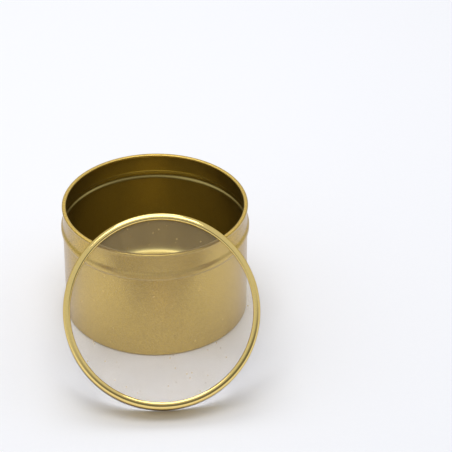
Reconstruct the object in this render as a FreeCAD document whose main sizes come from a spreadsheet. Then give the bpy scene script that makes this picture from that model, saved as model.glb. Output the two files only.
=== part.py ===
"""Round seamless window-lid tin: open tin, with its lid taken off and leaning on the rim.

The tin stands on the XY plane with its axis on Z. The lid is a sheet ring with a clear disc
behind its opening. It stands on its skirt in front of the tin, towards -Y, and hooks over the
tin's rim. Lengths are in millimetres and angles in degrees.
"""
import FreeCAD
import Part
import Sketcher

import math
import os
from dataclasses import dataclass
from enum import Enum

SIZES = (
    # Tin, drawn from one piece of sheet
    ("tin_height", 49.6),
    ("tin_sheet", 0.3),
    ("base_bend", 1.0),
    ("bead_drop", 9.8),
    ("bead_crest", 0.8),
    ("bead_bend", 0.95),
    ("bead_step", 0.75),
    ("rim_radius", 37.9),
    ("rim_width", 1.7),
    ("rim_bend", 0.5),
    ("rim_flare", 0.25),
    ("rim_flare_bend", 0.5),
    ("rim_tuck_gap", 0.15),
    # Lid ring, stamped from sheet
    ("slip_clearance", 0.3),
    ("lid_sheet", 0.3),
    ("hem_gap", 1.1),
    ("shoulder_bend", 1.3),
    ("face_width", 2.85),
    ("groove_depth", 0.22),
    ("curl_bend", 0.55),
    ("seat_land", 0.6),
    # Clear disc behind the ring
    ("window_sheet", 0.5),
    ("window_edge_gap", 0.55),
    # Lean of the loose lid
    ("lean_angle", 48.0),
    ("lean_clearance", 0.3),
)
QUARTER_SHARE = 0.25
HALF_SHARE = 0.5
THREE_QUARTER_SHARE = 0.75
FULL_TURN = 360.0


@dataclass(frozen=True)
class Size:
    """A size as its present value and as the sheet expression that gives it."""

    value: float
    text: str

    def __add__(self, other):
        return Size(self.value + other.value, f"({self.text} + {other.text})")

    def __sub__(self, other):
        return Size(self.value - other.value, f"({self.text} - {other.text})")

    def __mul__(self, other):
        return Size(self.value * other.value, f"({self.text} * {other.text})")

    def __truediv__(self, other):
        return Size(self.value / other.value, f"({self.text} / {other.text})")

    def share(self, share):
        return Size(self.value * share, f"({share} * {self.text})")


ZERO = Size(0.0, "0")


def sine(angle):
    """Sine of an angle size in degrees."""
    return Size(math.sin(math.radians(angle.value)), f"sin({angle.text} * 1 deg)")


def cosine(angle):
    """Cosine of an angle size in degrees."""
    return Size(math.cos(math.radians(angle.value)), f"cos({angle.text} * 1 deg)")


def root(size):
    """Square root of a size."""
    return Size(math.sqrt(size.value), f"sqrt({size.text})")


def lesser(first, second):
    """The lower of two sizes."""
    return Size(min(first.value, second.value), f"min({first.text}; {second.text})")


class Run(Enum):
    """How an outline goes from one corner to the next.

    A bend is an arc that leaves or meets its corner level (along the radius) or upright
    (along the axis).
    """

    STRAIGHT = "straight"
    LEAVES_LEVEL = "leaves level"
    MEETS_LEVEL = "meets level"
    LEAVES_UPRIGHT = "leaves upright"
    MEETS_UPRIGHT = "meets upright"


@dataclass(frozen=True)
class Corner:
    """A corner of a turned outline and the run that leaves it."""

    radius: Size
    height: Size
    run: Run = Run.STRAIGHT

    @property
    def point(self):
        return FreeCAD.Vector(self.radius.value, self.height.value, 0)


def make_sheet(doc):
    """Write the driving sizes into a sheet and return them by name."""
    sheet = doc.addObject("Spreadsheet::Sheet", "Sizes")
    for row, (name, value) in enumerate(SIZES, start=1):
        sheet.set(f"A{row}", name)
        sheet.set(f"B{row}", str(value))
        sheet.setAlias(f"B{row}", name)
    doc.recompute()
    return {name: Size(float(sheet.get(name)), f"Sizes.{name}") for name, _ in SIZES}


def bend_centre(start, end, run):
    """Centre of the arc between two corners."""
    leaves = run in (Run.LEAVES_LEVEL, Run.LEAVES_UPRIGHT)
    near, far = (start.point, end.point) if leaves else (end.point, start.point)
    chord = far - near
    if run in (Run.LEAVES_LEVEL, Run.MEETS_LEVEL):
        return near + FreeCAD.Vector(0, chord.Length**2 / (chord.y + chord.y), 0)
    return near + FreeCAD.Vector(chord.Length**2 / (chord.x + chord.x), 0, 0)


def add_run(sketch, start, end, run):
    """Add one line or arc; return its index and the point numbers of its start and end."""
    if run is Run.STRAIGHT:
        return sketch.addGeometry(Part.LineSegment(start.point, end.point)), 1, 2
    centre = bend_centre(start, end, run)
    first = start.point - centre
    last = end.point - centre
    forward = first.cross(last).z > 0
    low, high = (first, last) if forward else (last, first)
    circle = Part.Circle(centre, FreeCAD.Vector(0, 0, 1), first.Length)
    arc = Part.ArcOfCircle(circle, math.atan2(low.y, low.x), math.atan2(high.y, high.x))
    index = sketch.addGeometry(arc)
    return (index, 1, 2) if forward else (index, 2, 1)


def hold_bend(sketch, index, start, end, run):
    """Keep an arc level or upright where it leaves or meets its corner."""
    held = start if run in (Run.LEAVES_LEVEL, Run.LEAVES_UPRIGHT) else end
    level = run in (Run.LEAVES_LEVEL, Run.MEETS_LEVEL)
    kind = "Vertical" if level else "Horizontal"
    sketch.addConstraint(Sketcher.Constraint(kind, index, 3, index, held))


def hold_place(sketch, kind, axis, index, point, size):
    """Tie one coordinate of a point to its size, or to the axis where it is zero."""
    if size.value == 0:
        sketch.addConstraint(Sketcher.Constraint("PointOnObject", index, point, axis))
        return
    place = Sketcher.Constraint(kind, -1, 1, index, point, size.value)
    number = sketch.addConstraint(place)
    sketch.setExpression(f"Constraints[{number}]", size.text)


def draw_outline(body, corners):
    """Draw a closed outline in the body's XZ plane, with every corner tied to the sheet."""
    sketch = body.newObject("Sketcher::SketchObject", f"{body.Name}_outline")
    plane = next(item for item in body.Origin.OriginFeatures if item.Role == "XZ_Plane")
    sketch.AttachmentSupport = (plane, [""])
    sketch.MapMode = "FlatFace"
    followers = corners[1:] + corners[:1]
    runs = []
    for corner, follower in zip(corners, followers):
        runs.append(add_run(sketch, corner, follower, corner.run))
    for (index, _, end), (after, start, _) in zip(runs, runs[1:] + runs[:1]):
        sketch.addConstraint(Sketcher.Constraint("Coincident", index, end, after, start))
    for corner, (index, start, end) in zip(corners, runs):
        hold_place(sketch, "DistanceX", -2, index, start, corner.radius)
        hold_place(sketch, "DistanceY", -1, index, start, corner.height)
        if corner.run is not Run.STRAIGHT:
            hold_bend(sketch, index, start, end, corner.run)
    return sketch


def turn_piece(doc, name, corners):
    """Make a piece by turning an outline about the body's Z axis."""
    body = doc.addObject("PartDesign::Body", name)
    body.Label = name
    sketch = draw_outline(body, corners)
    doc.recompute()
    turn = body.newObject("PartDesign::Revolution", f"{name}_turn")
    turn.Profile = sketch
    turn.ReferenceAxis = (sketch, ["V_Axis"])
    turn.Angle = FULL_TURN
    doc.recompute()
    return body


def middle(first, second):
    """Size half-way between two sizes."""
    return (first + second).share(HALF_SHARE)


def lid_radius(size):
    """Outside of the lid's skirt, which slips over the rim and lies flush with the bead."""
    return size["rim_radius"] + size["slip_clearance"] + size["lid_sheet"]


def lid_hollow(size):
    """Depth of the closed lid's hollow, from the hem above the bead to the rim's top."""
    return size["bead_drop"] - size["hem_gap"]


def lid_height(size):
    """Height of the lid, from its hem to the top of its face."""
    return lid_hollow(size) + size["window_sheet"] + size["curl_bend"] + size["curl_bend"]


def tin_outline(size):
    """Outline of the tin: base, wall, bead, neck and rolled rim outside, then back inside."""
    sheet = size["tin_sheet"]
    top = size["tin_height"]
    crest = lid_radius(size)
    wall = crest - size["bead_step"]
    rim = size["rim_radius"]
    neck = rim - size["rim_flare"]
    base_bend = size["base_bend"]

    bead_top = top - size["bead_drop"]
    bead_bend = size["bead_bend"]
    bead_bottom = bead_top - size["bead_crest"]
    wall_top = bead_bottom - bead_bend - bead_bend
    neck_foot = bead_top + bead_bend + bead_bend
    lower_flank = middle(wall, crest)
    upper_flank = middle(neck, crest)

    rim_bend = size["rim_bend"]
    rim_side = top - rim_bend
    rim_under = rim_side - rim_bend
    flare_bend = size["rim_flare_bend"]
    flare_middle = rim_side - flare_bend
    neck_top = flare_middle - flare_bend
    flare = middle(neck, rim)
    rim_inside = rim - size["rim_width"]
    roll = rim_inside + rim_bend
    tuck = neck - sheet - size["rim_tuck_gap"]
    return [
        Corner(ZERO, ZERO),
        Corner(wall - base_bend, ZERO, Run.LEAVES_LEVEL),
        Corner(wall, base_bend),
        Corner(wall, wall_top, Run.LEAVES_UPRIGHT),
        Corner(lower_flank, wall_top + bead_bend, Run.MEETS_UPRIGHT),
        Corner(crest, bead_bottom),
        Corner(crest, bead_top, Run.LEAVES_UPRIGHT),
        Corner(upper_flank, bead_top + bead_bend, Run.MEETS_UPRIGHT),
        Corner(neck, neck_foot),
        Corner(neck, neck_top, Run.LEAVES_UPRIGHT),
        Corner(flare, flare_middle, Run.MEETS_UPRIGHT),
        Corner(rim, rim_side, Run.LEAVES_UPRIGHT),
        Corner(rim - rim_bend, top),
        Corner(roll, top, Run.LEAVES_LEVEL),
        Corner(rim_inside, rim_side, Run.LEAVES_UPRIGHT),
        Corner(roll, rim_under),
        Corner(tuck, rim_under),
        Corner(tuck, rim_under + sheet),
        Corner(roll, rim_under + sheet, Run.LEAVES_LEVEL),
        Corner(rim_inside + sheet, rim_side, Run.LEAVES_UPRIGHT),
        Corner(roll, top - sheet),
        Corner(rim - rim_bend, top - sheet, Run.LEAVES_LEVEL),
        Corner(rim - sheet, rim_side, Run.LEAVES_UPRIGHT),
        Corner(flare - sheet, flare_middle, Run.MEETS_UPRIGHT),
        Corner(neck - sheet, neck_top),
        Corner(neck - sheet, neck_foot, Run.LEAVES_UPRIGHT),
        Corner(upper_flank - sheet, bead_top + bead_bend, Run.MEETS_UPRIGHT),
        Corner(crest - sheet, bead_top),
        Corner(crest - sheet, bead_bottom, Run.LEAVES_UPRIGHT),
        Corner(lower_flank - sheet, wall_top + bead_bend, Run.MEETS_UPRIGHT),
        Corner(wall - sheet, wall_top),
        Corner(wall - sheet, base_bend, Run.LEAVES_UPRIGHT),
        Corner(wall - base_bend, sheet),
        Corner(ZERO, sheet),
    ]


def ring_outline(size):
    """Outline of the lid ring: skirt, shoulder, groove and the hem round the opening."""
    sheet = size["lid_sheet"]
    outside = lid_radius(size)
    top = lid_height(size)
    shoulder_bend = size["shoulder_bend"]
    shoulder = outside - shoulder_bend
    shoulder_foot = top - shoulder_bend

    curl_bend = size["curl_bend"]
    opening = outside - size["face_width"]
    curl = opening + curl_bend
    curl_side = top - curl_bend
    seat = curl_side - curl_bend
    land_edge = curl + size["seat_land"]

    groove_width = shoulder - curl
    outer_flank = shoulder - groove_width.share(QUARTER_SHARE)
    groove = shoulder - groove_width.share(HALF_SHARE)
    inner_flank = shoulder - groove_width.share(THREE_QUARTER_SHARE)
    groove_bottom = top - size["groove_depth"]
    flank = middle(top, groove_bottom)
    return [
        Corner(outside, ZERO),
        Corner(outside, shoulder_foot, Run.LEAVES_UPRIGHT),
        Corner(shoulder, top, Run.LEAVES_LEVEL),
        Corner(outer_flank, flank, Run.MEETS_LEVEL),
        Corner(groove, groove_bottom, Run.LEAVES_LEVEL),
        Corner(inner_flank, flank, Run.MEETS_LEVEL),
        Corner(curl, top, Run.LEAVES_LEVEL),
        Corner(opening, curl_side, Run.LEAVES_UPRIGHT),
        Corner(curl, seat),
        Corner(land_edge, seat),
        Corner(land_edge, seat + sheet),
        Corner(curl, seat + sheet, Run.LEAVES_LEVEL),
        Corner(opening + sheet, curl_side, Run.LEAVES_UPRIGHT),
        Corner(curl, top - sheet, Run.LEAVES_LEVEL),
        Corner(inner_flank, flank - sheet, Run.MEETS_LEVEL),
        Corner(groove, groove_bottom - sheet, Run.LEAVES_LEVEL),
        Corner(outer_flank, flank - sheet, Run.MEETS_LEVEL),
        Corner(shoulder, top - sheet, Run.LEAVES_LEVEL),
        Corner(outside - sheet, shoulder_foot),
        Corner(outside - sheet, ZERO),
    ]


def window_outline(size):
    """Outline of the clear disc, which lies against the hem round the ring's opening."""
    edge = lid_radius(size) - size["lid_sheet"] - size["window_edge_gap"]
    under = lid_hollow(size)
    seat = under + size["window_sheet"]
    return [Corner(ZERO, under), Corner(edge, under), Corner(edge, seat), Corner(ZERO, seat)]


def lid_lean(size):
    """Y and Z of the leaning lid's hem centre.

    The hem stands on the floor. The lid comes as near to the tin as its disc, at the front
    of the rim, and its skirt, at the two sides where the rim leaves the lid, both allow.
    A lid that is too low to reach over the rim leans the top of its hem on the tin.
    """
    lean_sine = sine(size["lean_angle"])
    lean_cosine = cosine(size["lean_angle"])
    clearance = size["lean_clearance"]
    rim_bend = size["rim_bend"]
    raised = lid_radius(size) * lean_sine
    meeting = lesser(size["tin_height"], raised + raised)

    rim_reach = (size["rim_radius"] - rim_bend) * lean_sine + (meeting - rim_bend) * lean_cosine
    disc_reach = rim_reach + rim_bend + clearance - lid_hollow(size)
    disc_limit = (raised * lean_cosine - disc_reach) / lean_sine

    skirt_inside = lid_radius(size) - size["lid_sheet"]
    rim_outside = size["rim_radius"] + clearance
    crossing = (meeting - raised) / lean_sine
    spread = rim_outside * rim_outside - skirt_inside * skirt_inside + crossing * crossing
    skirt_limit = ZERO - root(spread) - crossing * lean_cosine
    return lesser(disc_limit, skirt_limit), raised


def lean_piece(body, size):
    """Stand a piece of the lid in the leaning place."""
    forward, raised = lid_lean(size)
    lean = size["lean_angle"]
    turned = FreeCAD.Rotation(FreeCAD.Vector(1, 0, 0), lean.value)
    body.Placement = FreeCAD.Placement(FreeCAD.Vector(0, forward.value, raised.value), turned)
    body.setExpression("Placement.Base.y", forward.text)
    body.setExpression("Placement.Base.z", raised.text)
    body.setExpression("Placement.Rotation.Angle", f"{lean.text} * 1 deg")


def check_document(doc, bodies):
    """Stop if any object failed or any piece is not one valid solid."""
    for item in doc.Objects:
        if "Invalid" in item.State or "Error" in item.State:
            raise RuntimeError(f"{item.Name} failed: {item.State}")
    for body in bodies:
        shape = body.Shape
        if shape.isNull() or not shape.isValid() or len(shape.Solids) != 1:
            raise RuntimeError(f"{body.Label} is not one valid solid")


def main():
    """Build the three pieces and write one file for each."""
    doc = FreeCAD.newDocument("window_lid_tin")
    size = make_sheet(doc)
    tin_body = turn_piece(doc, "tin_body", tin_outline(size))
    lid_ring = turn_piece(doc, "lid_ring", ring_outline(size))
    window = turn_piece(doc, "window", window_outline(size))
    lean_piece(lid_ring, size)
    lean_piece(window, size)
    doc.recompute()

    bodies = (tin_body, lid_ring, window)
    check_document(doc, bodies)
    os.makedirs("parts", exist_ok=True)
    for body in bodies:
        body.Shape.exportStep(os.path.join("parts", f"{body.Label}.step"))


main()
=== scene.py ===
"""Round gold tin with a clear-windowed slip lid: the tin open, the lid off and leaning on its rim.

Size fields are in millimetres, meshes are in metres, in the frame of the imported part.
"""
import logging
import math
from dataclasses import dataclass
from enum import Enum

import bmesh
import bpy
from mathutils import Matrix, Vector


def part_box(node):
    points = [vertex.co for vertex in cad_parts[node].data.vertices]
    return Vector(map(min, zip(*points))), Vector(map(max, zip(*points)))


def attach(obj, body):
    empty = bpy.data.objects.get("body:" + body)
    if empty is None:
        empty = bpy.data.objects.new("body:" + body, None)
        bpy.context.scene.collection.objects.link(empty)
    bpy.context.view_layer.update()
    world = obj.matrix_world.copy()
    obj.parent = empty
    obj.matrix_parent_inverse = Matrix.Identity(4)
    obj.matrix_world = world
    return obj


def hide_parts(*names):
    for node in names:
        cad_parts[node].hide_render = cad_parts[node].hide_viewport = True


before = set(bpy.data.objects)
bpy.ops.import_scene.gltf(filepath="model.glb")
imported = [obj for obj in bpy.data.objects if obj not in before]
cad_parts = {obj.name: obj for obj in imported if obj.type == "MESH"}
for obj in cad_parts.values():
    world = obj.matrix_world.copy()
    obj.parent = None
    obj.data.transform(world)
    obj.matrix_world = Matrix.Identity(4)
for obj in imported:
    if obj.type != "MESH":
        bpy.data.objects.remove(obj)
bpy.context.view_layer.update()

LOG = logging.getLogger("window_lid_tin")
MM = 0.001
MERGE_GAP = 0.002 * MM
SHARP_TURN = math.radians(40.0)
FLAT_TURN = math.radians(8.0)
FULL = (0.0, 1.0)

# A bend's vertices lie within this many tangent lengths of its corner
BEND_REACH = 1.2

# Sheet grain: sizes in millimetres, finer octaves, and the spread of two noises added up
FINE_GRAIN = 0.3
COARSE_GRAIN = 0.5
RIPPLE_LENGTH = 7.0
GRAIN_DETAIL = 1.0
GRAIN_SPREAD = (0.75, 1.25)

# Smears: size in millimetres, finer octaves, distortion, and the noise that they fade in over
SMEAR_LENGTH = 14.0
SMEAR_DETAIL = 4.0
SMEAR_TWIST = 1.2
SMEAR_SPREAD = (0.45, 0.7)

# Numbers of the colour sockets of Blender's Mix node
MIX_FIRST = 6
MIX_SECOND = 7
MIX_RESULT = 2

Colour = tuple[float, float, float]
Point = tuple[float, float, float]
Span = tuple[float, float]
Socket = bpy.types.NodeSocket


class Side(Enum):
    """The sides of a sheet that carry their own finish, as material slot numbers."""

    OUTSIDE = 0
    INSIDE = 1
    CUT_EDGE = 2


class Effect(Enum):
    """Shader node groups that more than one finish uses."""

    SHEET_GRAIN = "sheet_grain"
    HANDLING = "handling"


class Graph:
    """A node tree that is being wired."""

    def __init__(self, tree: bpy.types.NodeTree) -> None:
        """Keep the tree to wire."""
        self.tree = tree

    def add(self, kind: str, **settings: object) -> bpy.types.Node:
        """Add a node.

        Args:
            kind: Blender's node type name.
            settings: Node properties to set.

        Returns:
            The new node.
        """
        node = self.tree.nodes.new(kind)
        for name, value in settings.items():
            setattr(node, name, value)
        return node

    def link(self, source: Socket, target: Socket) -> None:
        """Join an output to an input."""
        self.tree.links.new(source, target)

    def place(self) -> Socket:
        """Coordinates of the piece that the material is on."""
        return self.add("ShaderNodeTexCoord").outputs["Object"]

    def noise(self, vector: Socket, size: float, detail: float, twist: float = 0.0) -> Socket:
        """Add a noise texture.

        Args:
            vector: Coordinates to read.
            size: Size of one feature in millimetres.
            detail: Number of finer octaves.
            twist: Distortion of the pattern.

        Returns:
            The noise.
        """
        node = self.add("ShaderNodeTexNoise")
        node.inputs["Scale"].default_value = 1.0 / (size * MM)
        node.inputs["Detail"].default_value = detail
        node.inputs["Distortion"].default_value = twist
        self.link(vector, node.inputs["Vector"])
        return node.outputs[0]

    def remap(self, value: Socket, source: Span, target: Span) -> Socket:
        """Map a value from one range to another.

        Args:
            value: The value to map.
            source: Range of the value.
            target: Range of the result.

        Returns:
            The mapped value, held inside the target range.
        """
        node = self.add("ShaderNodeMapRange")
        for name, number in zip(("From Min", "From Max", "To Min", "To Max"), source + target):
            node.inputs[name].default_value = number
        self.link(value, node.inputs["Value"])
        return node.outputs["Result"]

    def blend(self, factor: Socket, first: Colour, second: Colour) -> Socket:
        """Blend two plain colours by a mask.

        Args:
            factor: The mask.
            first: Colour where the mask is 0.
            second: Colour where the mask is 1.

        Returns:
            The blended colour.
        """
        node = self.add("ShaderNodeMix", data_type="RGBA")
        self.link(factor, node.inputs[0])
        node.inputs[MIX_FIRST].default_value = (*first, 1.0)
        node.inputs[MIX_SECOND].default_value = (*second, 1.0)
        return node.outputs[MIX_RESULT]

    def mix_shaders(self, factor: Socket, first: Socket, second: Socket) -> Socket:
        """Mix two shaders by a mask.

        Args:
            factor: The mask.
            first: Shader where the mask is 0.
            second: Shader where the mask is 1.

        Returns:
            The mixed shader.
        """
        node = self.add("ShaderNodeMixShader")
        for source, target in zip((factor, first, second), node.inputs):
            self.link(source, target)
        return node.outputs["Shader"]

    def compute(self, operation: str, first: Socket, second: Socket | float) -> Socket:
        """Work out a value from two others.

        Args:
            operation: Blender's name for the operation.
            first: First value.
            second: Second value, from a node or as a plain number.

        Returns:
            The result.
        """
        node = self.add("ShaderNodeMath", operation=operation)
        self.link(first, node.inputs[0])
        if isinstance(second, float):
            node.inputs[1].default_value = second
        else:
            self.link(second, node.inputs[1])
        return node.outputs[0]


def start_group(
    effect: Effect, inputs: dict[str, float], outputs: tuple[str, ...]
) -> tuple[Graph, bpy.types.Node, bpy.types.Node]:
    """Start a shader node group with float sockets.

    Args:
        effect: The effect that the group makes.
        inputs: Input names with their usual values.
        outputs: Output names.

    Returns:
        The group's graph, its input node and its output node.
    """
    tree = bpy.data.node_groups.new(effect.value, "ShaderNodeTree")
    for name, value in inputs.items():
        socket = tree.interface.new_socket(name, in_out="INPUT", socket_type="NodeSocketFloat")
        socket.default_value = value
    for name in outputs:
        tree.interface.new_socket(name, in_out="OUTPUT", socket_type="NodeSocketFloat")
    graph = Graph(tree)
    return graph, graph.add("NodeGroupInput"), graph.add("NodeGroupOutput")


def build_sheet_grain() -> None:
    """Fine satin grain of lacquered sheet, with the slow ripple that drawing leaves in it."""
    graph, given, made = start_group(
        Effect.SHEET_GRAIN, {"Grain": 1.0, "Ripple": 1.0}, ("Tone", "Height")
    )
    place = graph.place()
    fine = graph.noise(place, FINE_GRAIN, GRAIN_DETAIL)
    coarse = graph.noise(place, COARSE_GRAIN, GRAIN_DETAIL)
    ripple = graph.noise(place, RIPPLE_LENGTH, GRAIN_DETAIL)
    grain = graph.compute("ADD", fine, coarse)
    graph.link(graph.remap(grain, GRAIN_SPREAD, FULL), made.inputs["Tone"])
    grain_height = graph.compute("MULTIPLY", grain, given.outputs["Grain"])
    ripple_height = graph.compute("MULTIPLY", ripple, given.outputs["Ripple"])
    graph.link(graph.compute("ADD", grain_height, ripple_height), made.inputs["Height"])


def build_handling() -> None:
    """Faint smears that handling leaves on a clean surface."""
    graph, given, made = start_group(Effect.HANDLING, {"Strength": 1.0}, ("Smear",))
    cloud = graph.noise(graph.place(), SMEAR_LENGTH, SMEAR_DETAIL, SMEAR_TWIST)
    smear = graph.remap(cloud, SMEAR_SPREAD, FULL)
    graph.link(graph.compute("MULTIPLY", smear, given.outputs["Strength"]), made.inputs["Smear"])


def use_effect(graph: Graph, effect: Effect, **values: float) -> bpy.types.Node:
    """Place a shared effect in a material.

    Args:
        graph: The material's graph.
        effect: The effect to place.
        values: Socket values of this material.

    Returns:
        The group node.
    """
    node = graph.add("ShaderNodeGroup", node_tree=bpy.data.node_groups[effect.value])
    for name, value in values.items():
        node.inputs[name].default_value = value
    return node


def start_material(name: str) -> tuple[bpy.types.Material, Graph, bpy.types.Node, bpy.types.Node]:
    """Start a material with a Principled shader.

    Args:
        name: Name of the material.

    Returns:
        The material, its graph, its shader node and its output node.
    """
    material = bpy.data.materials.new(name)
    material.use_nodes = True
    material.node_tree.nodes.clear()
    graph = Graph(material.node_tree)
    shader = graph.add("ShaderNodeBsdfPrincipled")
    output = graph.add("ShaderNodeOutputMaterial")
    graph.link(shader.outputs["BSDF"], output.inputs["Surface"])
    return material, graph, shader, output


@dataclass(frozen=True)
class Lacquer:
    """Surface of tinplate, lacquered or bare; smear is the roughness that handling adds."""

    name: str
    colour: Colour
    deep_colour: Colour
    roughness: Span
    grain: float
    ripple: float
    relief: float
    smear: float = 0.03
    edge_tint: Colour = (1.0, 1.0, 1.0)
    coat: float = 0.0
    coat_roughness: float = 0.2

    def make(self) -> bpy.types.Material:
        """Build the material.

        Returns:
            A metal whose tone, gloss and relief follow the sheet's grain and its handling.
        """
        material, graph, shader, _ = start_material(self.name)
        grain = use_effect(graph, Effect.SHEET_GRAIN, Grain=self.grain, Ripple=self.ripple)
        handling = use_effect(graph, Effect.HANDLING, Strength=self.smear)
        shader.inputs["Metallic"].default_value = 1.0
        shader.inputs["Specular Tint"].default_value = (*self.edge_tint, 1.0)
        shader.inputs["Coat Weight"].default_value = self.coat
        shader.inputs["Coat Roughness"].default_value = self.coat_roughness
        tone = graph.blend(grain.outputs["Tone"], self.deep_colour, self.colour)
        graph.link(tone, shader.inputs["Base Color"])
        polish = graph.remap(grain.outputs["Tone"], FULL, self.roughness[::-1])
        gloss = graph.compute("ADD", polish, handling.outputs["Smear"])
        graph.link(gloss, shader.inputs["Roughness"])
        bump = graph.add("ShaderNodeBump")
        bump.inputs["Distance"].default_value = self.relief * MM
        graph.link(grain.outputs["Height"], bump.inputs["Height"])
        graph.link(bump.outputs["Normal"], shader.inputs["Normal"])
        return material


@dataclass(frozen=True)
class ClearSheet:
    """Clear plastic sheet with a film whose warm colour paints a gold glow over it, and dust
    specks; the specks' size is a share of their gap.
    """

    name: str
    colour: Colour
    shade: Colour
    glow_and_dust_colour: Colour
    painted_glow_share: Span
    roughness: Span
    refraction: float
    glow_and_dust_roughness: float = 0.8
    speck_gap: float = 3.0
    speck_size: float = 0.1
    speck_cover: float = 0.4
    speck_zone: Span = (0.48, 0.56)

    def cover(self, graph: Graph) -> Socket:
        """Work out how much of the sheet the painted glow film and the dust specks cover.

        Args:
            graph: The material's graph.

        Returns:
            The covered share, from place to place.
        """
        place = graph.place()
        cloud = graph.noise(place, SMEAR_LENGTH, SMEAR_DETAIL, SMEAR_TWIST)
        # The film spreads the painted gold glow thinly over the whole sheet.
        painted_glow_share = graph.remap(cloud, SMEAR_SPREAD, self.painted_glow_share)
        cells = graph.add("ShaderNodeTexVoronoi")
        cells.inputs["Scale"].default_value = 1.0 / (self.speck_gap * MM)
        graph.link(place, cells.inputs["Vector"])
        dots = graph.compute("LESS_THAN", cells.outputs["Distance"], self.speck_size)
        dusty = graph.remap(cloud, self.speck_zone, (0.0, self.speck_cover))
        return graph.compute("MAXIMUM", painted_glow_share, graph.compute("MULTIPLY", dots, dusty))

    def make(self) -> bpy.types.Material:
        """Build the material.

        Returns:
            A clear material that lets lamps through to what lies behind it.
        """
        material, graph, shader, output = start_material(self.name)
        handling = use_effect(graph, Effect.HANDLING)
        shader.inputs["Base Color"].default_value = (*self.colour, 1.0)
        shader.inputs["Transmission Weight"].default_value = 1.0
        shader.inputs["IOR"].default_value = self.refraction
        gloss = graph.remap(handling.outputs["Smear"], FULL, self.roughness)
        graph.link(gloss, shader.inputs["Roughness"])
        # One diffuse orange layer paints the warm gold glow where the film lies and colours the
        # dust specks.
        glow_and_dust_layer = graph.add("ShaderNodeBsdfPrincipled")
        glow_and_dust_layer.inputs["Base Color"].default_value = (*self.glow_and_dust_colour, 1.0)
        glow_and_dust_layer.inputs["Roughness"].default_value = self.glow_and_dust_roughness
        through = graph.add("ShaderNodeBsdfTransparent")
        through.inputs["Color"].default_value = (*self.shade, 1.0)
        path = graph.add("ShaderNodeLightPath")
        dusty = graph.mix_shaders(self.cover(graph), shader.outputs["BSDF"], glow_and_dust_layer.outputs["BSDF"])
        lit = graph.mix_shaders(path.outputs["Is Shadow Ray"], dusty, through.outputs["BSDF"])
        graph.link(lit, output.inputs["Surface"])
        return material


@dataclass(frozen=True)
class Paper:
    """Smooth white paper of the floor."""

    name: str
    colour: Colour
    shade: Colour
    tooth: float = 1.5
    tooth_detail: float = 3.0
    roughness: float = 0.9
    shine: float = 0.1

    def make(self) -> bpy.types.Material:
        """Build the material.

        Returns:
            A matt white with a faint tooth.
        """
        material, graph, shader, _ = start_material(self.name)
        tooth = graph.noise(graph.place(), self.tooth, self.tooth_detail)
        graph.link(graph.blend(tooth, self.shade, self.colour), shader.inputs["Base Color"])
        shader.inputs["Roughness"].default_value = self.roughness
        shader.inputs["Specular IOR Level"].default_value = self.shine
        return material


@dataclass(frozen=True)
class Corner:
    """A corner of a sheet's outline, with the tangent length of its bend."""

    radius: float
    height: float
    bend: float = 0.0


def slope_bend(along: float, across: float) -> float:
    """Tangent length of the two equal bends of an S-shaped step.

    Args:
        along: Half of the step's length along the run.
        across: Half of the step's height across the run.

    Returns:
        Distance from each corner to the ends of its bend.
    """
    return (along * along + across * across) / (along + along)


def turn_sheet(corners: list[Corner], sheet: float, steps: int, segments: int) -> bmesh.types.BMesh:
    """Turn an outline about Z and give it the sheet's thickness inwards.

    Args:
        corners: Outline of the outer side.
        sheet: Thickness of the sheet.
        steps: Steps of the full turn.
        segments: Segments of each bend.

    Returns:
        A closed mesh whose faces are numbered by side.
    """
    bm = bmesh.new()
    verts = [bm.verts.new((c.radius * MM, 0.0, c.height * MM)) for c in corners]
    for first, second in zip(verts, verts[1:]):
        bm.edges.new((first, second))
    for vert, corner in zip(verts, corners):
        if corner.bend:
            bmesh.ops.bevel(
                bm, geom=[vert], offset=corner.bend * MM, offset_type="ABSOLUTE",
                affect="VERTICES", segments=segments, profile=0.5, material=-1,
            )
    bmesh.ops.remove_doubles(bm, verts=bm.verts[:], dist=MERGE_GAP)
    bmesh.ops.spin(
        bm, geom=bm.verts[:] + bm.edges[:], cent=(0, 0, 0), axis=(0, 0, 1),
        angle=math.tau, steps=steps, use_merge=True,
    )
    bmesh.ops.remove_doubles(bm, verts=bm.verts[:], dist=MERGE_GAP)
    bmesh.ops.recalc_face_normals(bm, faces=bm.faces[:])
    outside = set(bm.faces)
    bmesh.ops.solidify(bm, geom=bm.faces[:], thickness=sheet * MM)
    for face in bm.faces:
        if face in outside:
            face.material_index = Side.OUTSIDE.value
        elif any(other in outside for edge in face.edges for other in edge.link_faces):
            face.material_index = Side.CUT_EDGE.value
        else:
            face.material_index = Side.INSIDE.value
    return bm


def settle_piece(
    bm: bmesh.types.BMesh, name: str, materials: list[bpy.types.Material], sharp: float = SHARP_TURN
) -> bpy.types.Object:
    """Make an object of a finished mesh, smooth but for its sharp edges.

    Args:
        bm: The mesh, which is freed.
        name: Name of the piece.
        materials: Its materials, in slot order.
        sharp: Turn past which an edge is sharp.

    Returns:
        The new object, at the origin.
    """
    for face in bm.faces:
        face.smooth = True
    for edge in bm.edges:
        edge.smooth = edge.calc_face_angle(0.0) < sharp
    mesh = bpy.data.meshes.new(name)
    bm.to_mesh(mesh)
    bm.free()
    for material in materials:
        mesh.materials.append(material)
    piece = bpy.data.objects.new(name, mesh)
    bpy.context.scene.collection.objects.link(piece)
    return piece


def join_part(piece: bpy.types.Object, body: str, node: str) -> None:
    """Let a piece stand for its CAD node.

    Args:
        piece: The piece.
        body: CAD body that it rides on.
        node: CAD node that it replaces.
    """
    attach(piece, body)
    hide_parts(node)
    LOG.info("%s: %d faces on %s", piece.name, len(piece.data.polygons), body)


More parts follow.
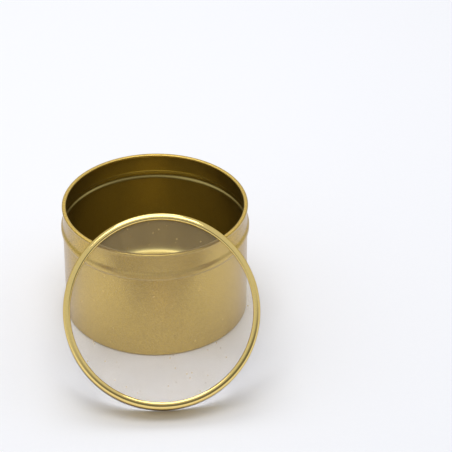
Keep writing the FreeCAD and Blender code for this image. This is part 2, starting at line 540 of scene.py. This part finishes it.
@dataclass
class Tin:
    """The drawn tin: base, wall, bead, neck and a rim that is rolled inwards."""

    outside: Lacquer
    inside: Lacquer
    edge: Lacquer
    height: float = 49.6
    sheet: float = 0.3
    wall_radius: float = 37.75
    base_bend: float = 1.0
    floor_bend: float = 4.0
    bead_radius: float = 38.5
    bead_top: float = 39.8
    bead_crest: float = 0.8
    bead_bend: float = 0.95
    neck_radius: float = 37.65
    rim_radius: float = 37.9
    rim_inside: float = 36.2
    rim_bend: float = 0.5
    flare_bend: float = 0.5
    tuck_radius: float = 37.2
    steps: int = 256
    segments: int = 6

    def outline(self) -> list[Corner]:
        """List the corners of the tin's outer side.

        Returns:
            The corners, from the middle of the base to the end of the rolled rim.
        """
        lower = slope_bend(self.bead_bend, (self.bead_radius - self.wall_radius) / 2)
        upper = slope_bend(self.bead_bend, (self.bead_radius - self.neck_radius) / 2)
        flare = slope_bend(self.flare_bend, (self.rim_radius - self.neck_radius) / 2)
        bead_foot = self.bead_top - self.bead_crest
        rim_side = self.height - self.rim_bend
        rim_under = rim_side - self.rim_bend
        return [
            Corner(0.0, 0.0),
            Corner(self.wall_radius, 0.0, self.base_bend),
            Corner(self.wall_radius, bead_foot - 2 * self.bead_bend + lower, lower),
            Corner(self.bead_radius, bead_foot - lower, lower),
            Corner(self.bead_radius, self.bead_top + upper, upper),
            Corner(self.neck_radius, self.bead_top + 2 * self.bead_bend - upper, upper),
            Corner(self.neck_radius, rim_side - 2 * self.flare_bend + flare, flare),
            Corner(self.rim_radius, rim_side - flare, flare),
            Corner(self.rim_radius, self.height, self.rim_bend),
            Corner(self.rim_inside, self.height, self.rim_bend),
            Corner(self.rim_inside, rim_under, self.rim_bend),
            Corner(self.tuck_radius, rim_under),
        ]

    def ease_floor(self, bm: bmesh.types.BMesh) -> None:
        """Widen the bend between the inside of the base and the inside of the wall.

        Args:
            bm: The tin's mesh.
        """
        corner = Vector((self.wall_radius - self.sheet, self.sheet)) * MM
        bend = (self.base_bend - self.sheet) * MM
        for vert in bm.verts:
            radius = vert.co.xy.length
            step = Vector((radius, vert.co.z)) - corner
            lined = all(face.material_index == Side.INSIDE.value for face in vert.link_faces)
            if lined and step.x > -BEND_REACH * bend and step.y < BEND_REACH * bend:
                moved = corner + step * (self.floor_bend * MM / bend)
                out = moved.x / radius
                vert.co = (vert.co.x * out, vert.co.y * out, moved.y)

    def build(self) -> bpy.types.Object:
        """Build and dress the tin.

        Returns:
            The tin's object.
        """
        bm = turn_sheet(self.outline(), self.sheet, self.steps, self.segments)
        self.ease_floor(bm)
        finishes = [self.outside.make(), self.inside.make(), self.edge.make()]
        piece = settle_piece(bm, "tin", finishes)
        join_part(piece, "tin", "tin_body")
        return piece


@dataclass
class WindowLid:
    """The leaning lid: a stamped ring and the clear disc behind its opening."""

    face: Lacquer
    back: Lacquer
    edge: Lacquer
    clear: ClearSheet
    lean: float = 48.0
    skirt_radius: float = 38.5
    height: float = 10.3
    sheet: float = 0.3
    shoulder_bend: float = 1.65
    opening_radius: float = 35.65
    crown_bend: float = 0.8
    curl_bend: float = 0.3
    land_radius: float = 36.8
    disc_radius: float = 37.65
    disc_sheet: float = 0.5
    disc_edge: float = 0.08
    disc_segments: int = 2
    steps: int = 256
    segments: int = 6

    @property
    def seat(self) -> float:
        """Height of the disc's upper side above the hem."""
        return self.height - self.crown_bend - self.curl_bend

    def place(self) -> Matrix:
        """Where the CAD puts the lid.

        Returns:
            Matrix from the lid's own frame, hem at zero and face upwards, to the part's frame.
        """
        turned = Matrix.Rotation(math.radians(self.lean), 4, "X")
        low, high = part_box("window")
        disc_middle = (self.seat - self.disc_sheet / 2) * MM
        hem = (low + high) / 2 - turned.to_3x3() @ Vector((0.0, 0.0, disc_middle))
        return Matrix.Translation(hem) @ turned

    def outline(self) -> list[Corner]:
        """List the corners of the ring's outer side.

        Returns:
            The corners, from the hem over the face to the land behind it.
        """
        return [
            Corner(self.skirt_radius, 0.0),
            Corner(self.skirt_radius, self.height, self.shoulder_bend),
            Corner(self.opening_radius, self.height, self.crown_bend),
            Corner(self.opening_radius, self.seat, self.curl_bend),
            Corner(self.land_radius, self.seat),
        ]

    def build_ring(self) -> bpy.types.Object:
        """Build and dress the ring.

        Returns:
            The ring's object.
        """
        bm = turn_sheet(self.outline(), self.sheet, self.steps, self.segments)
        bmesh.ops.transform(bm, matrix=self.place(), verts=bm.verts[:])
        finishes = [self.face.make(), self.back.make(), self.edge.make()]
        piece = settle_piece(bm, "lid_ring_bright", finishes)
        join_part(piece, "lid", "lid_ring")
        return piece

    def build_disc(self) -> bpy.types.Object:
        """Build and dress the clear disc.

        Returns:
            The disc's object.
        """
        bm = bmesh.new()
        under = Matrix.Translation((0.0, 0.0, (self.seat - self.disc_sheet) * MM))
        bmesh.ops.create_circle(
            bm, cap_ends=True, radius=self.disc_radius * MM, segments=self.steps, matrix=under
        )
        raised = bmesh.ops.extrude_face_region(bm, geom=bm.faces[:])["geom"]
        lifted = [item for item in raised if isinstance(item, bmesh.types.BMVert)]
        bmesh.ops.translate(bm, vec=(0.0, 0.0, self.disc_sheet * MM), verts=lifted)
        bmesh.ops.recalc_face_normals(bm, faces=bm.faces[:])
        corners = [edge for edge in bm.edges if edge.calc_face_angle(0.0) > SHARP_TURN]
        bmesh.ops.bevel(
            bm, geom=corners, offset=self.disc_edge * MM, offset_type="OFFSET",
            affect="EDGES", segments=self.disc_segments, profile=0.5, material=-1,
        )
        bmesh.ops.transform(bm, matrix=self.place(), verts=bm.verts[:])
        piece = settle_piece(bm, "lid_disc", [self.clear.make()], FLAT_TURN)
        join_part(piece, "lid", "window")
        return piece


@dataclass
class Softbox:
    """A soft rectangular lamp that is aimed at the origin; its place and size are in metres."""

    name: str
    centre: Point
    width: float
    depth: float
    brightness: float

    def hang(self) -> None:
        """Add the lamp, with its power worked out from how bright its face looks."""
        light = bpy.data.lights.new(self.name, "AREA")
        light.shape = "RECTANGLE"
        light.size, light.size_y = self.width, self.depth
        light.energy = self.brightness * math.pi * self.width * self.depth
        lamp = bpy.data.objects.new(self.name, light)
        lamp.location = self.centre
        lamp.rotation_euler = (-Vector(self.centre)).to_track_quat("-Z", "Y").to_euler()
        bpy.context.scene.collection.objects.link(lamp)


@dataclass
class Studio:
    """White paper floor, soft room light and softboxes."""

    paper: Paper
    lamps: list[Softbox]
    floor_side: float = 8000.0
    floor_drop: float = 0.05
    tint: Colour = (0.97, 0.99, 1.03)
    room: float = 0.67
    dim_room: float = 0.18
    dim_side: Point = (0.25, -0.97, 0.0)
    dim_edge: Span = (0.45, 0.8)
    dim_top: Span = (0.55, 0.75)

    def lay_floor(self) -> None:
        """Lay the floor just below the part."""
        bm = bmesh.new()
        drop = Matrix.Translation((0.0, 0.0, -self.floor_drop * MM))
        bmesh.ops.create_grid(
            bm, x_segments=1, y_segments=1, size=self.floor_side / 2 * MM, matrix=drop
        )
        floor = settle_piece(bm, "floor", [self.paper.make()])

    def light_room(self) -> None:
        """Light the room softly, with a dim zone low in front of the object."""
        world = bpy.data.worlds.new("room")
        bpy.context.scene.world = world
        world.use_nodes = True
        world.node_tree.nodes.clear()
        graph = Graph(world.node_tree)
        aim = graph.add("ShaderNodeTexCoord").outputs["Generated"]
        split = graph.add("ShaderNodeSeparateXYZ")
        graph.link(aim, split.inputs[0])
        facing = graph.add("ShaderNodeVectorMath", operation="DOT_PRODUCT")
        graph.link(aim, facing.inputs[0])
        facing.inputs[1].default_value = self.dim_side
        front = graph.remap(facing.outputs["Value"], self.dim_edge, FULL)
        low = graph.remap(split.outputs["Z"], self.dim_top, FULL[::-1])
        dim = graph.compute("MULTIPLY", front, low)
        background = graph.add("ShaderNodeBackground")
        background.inputs["Color"].default_value = (*self.tint, 1.0)
        level = graph.remap(dim, FULL, (self.room, self.dim_room))
        graph.link(level, background.inputs["Strength"])
        output = graph.add("ShaderNodeOutputWorld")
        graph.link(background.outputs["Background"], output.inputs["Surface"])

    def build(self) -> None:
        """Set the studio up."""
        self.lay_floor()
        self.light_room()
        for lamp in self.lamps:
            lamp.hang()
        bpy.context.scene.view_settings.view_transform = "Standard"


@dataclass
class PhotoCamera:
    """Camera at the photograph's place and viewing angle; angles are in degrees."""

    place: Point = (-25.95, -705.98, 516.38)
    heading: float = 4.456
    pitch: float = 34.11
    roll: float = 0.31
    focal_pixels: float = 2079.0
    image_pixels: float = 452.0
    sensor: float = 36.0

    def build(self) -> None:
        """Set the camera up and make it the scene's own."""
        data = bpy.data.cameras.new("photo_camera")
        data.sensor_width = self.sensor
        data.lens = self.focal_pixels / self.image_pixels * self.sensor
        camera = bpy.data.objects.new("photo_camera", data)
        turn = Matrix.Rotation(math.radians(-self.heading), 4, "Z")
        tilt = Matrix.Rotation(math.radians(90.0 - self.pitch), 4, "X")
        twist = Matrix.Rotation(math.radians(self.roll), 4, "Z")
        camera.matrix_world = Matrix.Translation(Vector(self.place) * MM) @ turn @ tilt @ twist
        bpy.context.scene.collection.objects.link(camera)
        bpy.context.scene.camera = camera


SATIN_GOLD = Lacquer(
    name="satin_gold_lacquer", colour=(0.70, 0.475, 0.075), deep_colour=(0.43, 0.28, 0.034),
    roughness=(0.32, 0.40), grain=1.0, ripple=0.5, relief=0.035,
    edge_tint=(0.55, 0.52, 0.6), coat=1.0, coat_roughness=0.28,
)
INSIDE_GOLD = Lacquer(
    name="inside_gold_lacquer", colour=(0.50, 0.40, 0.14), deep_colour=(0.45, 0.355, 0.12),
    roughness=(0.28, 0.34), grain=0.4, ripple=0.1, relief=0.02,
)
BRIGHT_GOLD = Lacquer(
    name="bright_gold_lacquer", colour=(0.94, 0.72, 0.27), deep_colour=(0.88, 0.66, 0.23),
    roughness=(0.04, 0.07), grain=0.1, ripple=1.0, relief=0.02,
    edge_tint=(0.2, 0.13, 0.05),
)
# Rougher gold lacquer of the ring's back, its colour painted darker than the face as shade.
SHADED_BACK_GOLD = Lacquer(
    name="lid_back_lacquer_painted_shade", colour=(0.46, 0.33, 0.09), deep_colour=(0.40, 0.285, 0.075),
    roughness=(0.24, 0.3), grain=0.3, ripple=0.6, relief=0.02,
)
BARE_EDGE = Lacquer(
    name="bare_tinplate_edge", colour=(0.55, 0.54, 0.52), deep_colour=(0.42, 0.41, 0.39),
    roughness=(0.4, 0.55), grain=1.0, ripple=0.2, relief=0.03,
)
# The film's orange colour is a painted gold glow; the specks are dust.
CLEAR_WINDOW = ClearSheet(
    name="clear_window_sheet", colour=(0.925, 0.935, 0.955), shade=(0.86, 0.87, 0.895),
    glow_and_dust_colour=(1.0, 0.70, 0.24), painted_glow_share=(0.066, 0.082),
    roughness=(0.02, 0.05), refraction=1.42,
)
WHITE_PAPER = Paper(name="white_paper", colour=(0.91, 0.91, 0.93), shade=(0.89, 0.89, 0.91))


def main() -> None:
    """Build the studio, the tin and its lid."""
    logging.basicConfig(level=logging.INFO, format="%(message)s")
    build_sheet_grain()
    build_handling()
    PhotoCamera().build()
    Studio(
        paper=WHITE_PAPER,
        lamps=[
            Softbox(
                "back_softbox", centre=(-0.06, 0.44, 0.83),
                width=0.62, depth=0.42, brightness=2.8,
            ),
            Softbox(
                "top_softbox", centre=(-0.05, -0.16, 0.91),
                width=0.60, depth=0.40, brightness=3.1,
            ),
        ],
    ).build()
    Tin(outside=SATIN_GOLD, inside=INSIDE_GOLD, edge=BARE_EDGE).build()
    lid = WindowLid(face=BRIGHT_GOLD, back=SHADED_BACK_GOLD, edge=BARE_EDGE, clear=CLEAR_WINDOW)
    lid.build_ring()
    lid.build_disc()


if __name__ == "__main__":
    main()
